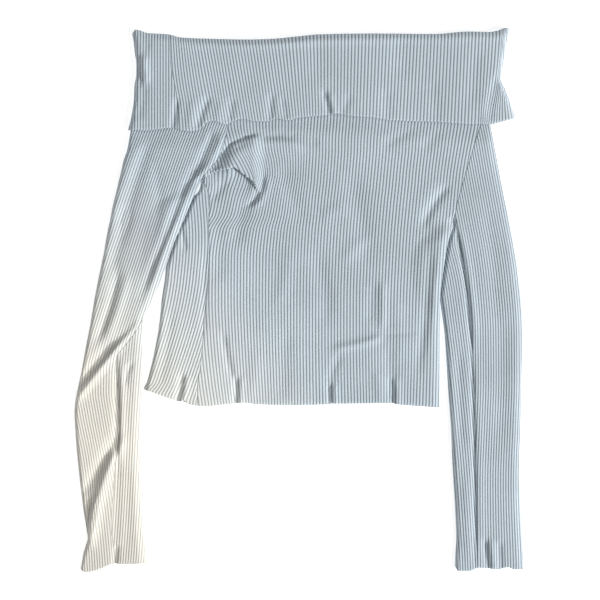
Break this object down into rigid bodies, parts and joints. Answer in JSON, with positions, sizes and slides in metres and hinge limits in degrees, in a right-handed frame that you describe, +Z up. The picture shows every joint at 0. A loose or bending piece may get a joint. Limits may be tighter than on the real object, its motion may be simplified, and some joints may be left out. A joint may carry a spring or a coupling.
{
  "type": "off-shoulder top",
  "caption": "Long-sleeved rib-knit top with raglan sleeves and a wide folded collar worn off the shoulders, lying flat on its back.",
  "frame": {"origin": "middle of the underside of the whole top as it lies", "axes": "+X to the right of the top as seen from above, +Y towards the collar, +Z up, out of the front"},
  "size_m": [0.539, 0.6524, 0.0102],
  "materials": {
    "front_panel_knit": "soft rib knit",
    "back_panel_knit": "soft rib knit",
    "left_sleeve_knit": "soft rib knit",
    "right_sleeve_knit": "soft rib knit",
    "collar_front_knit": "soft rib knit",
    "collar_back_knit": "soft rib knit"
  },
  "bodies": {
    "root": {"front_panel": "front_panel_knit", "back_panel": "back_panel_knit", "left_sleeve": "left_sleeve_knit", "right_sleeve": "right_sleeve_knit", "collar_front": "collar_front_knit", "collar_back": "collar_back_knit"}
  },
  "joints": []
}
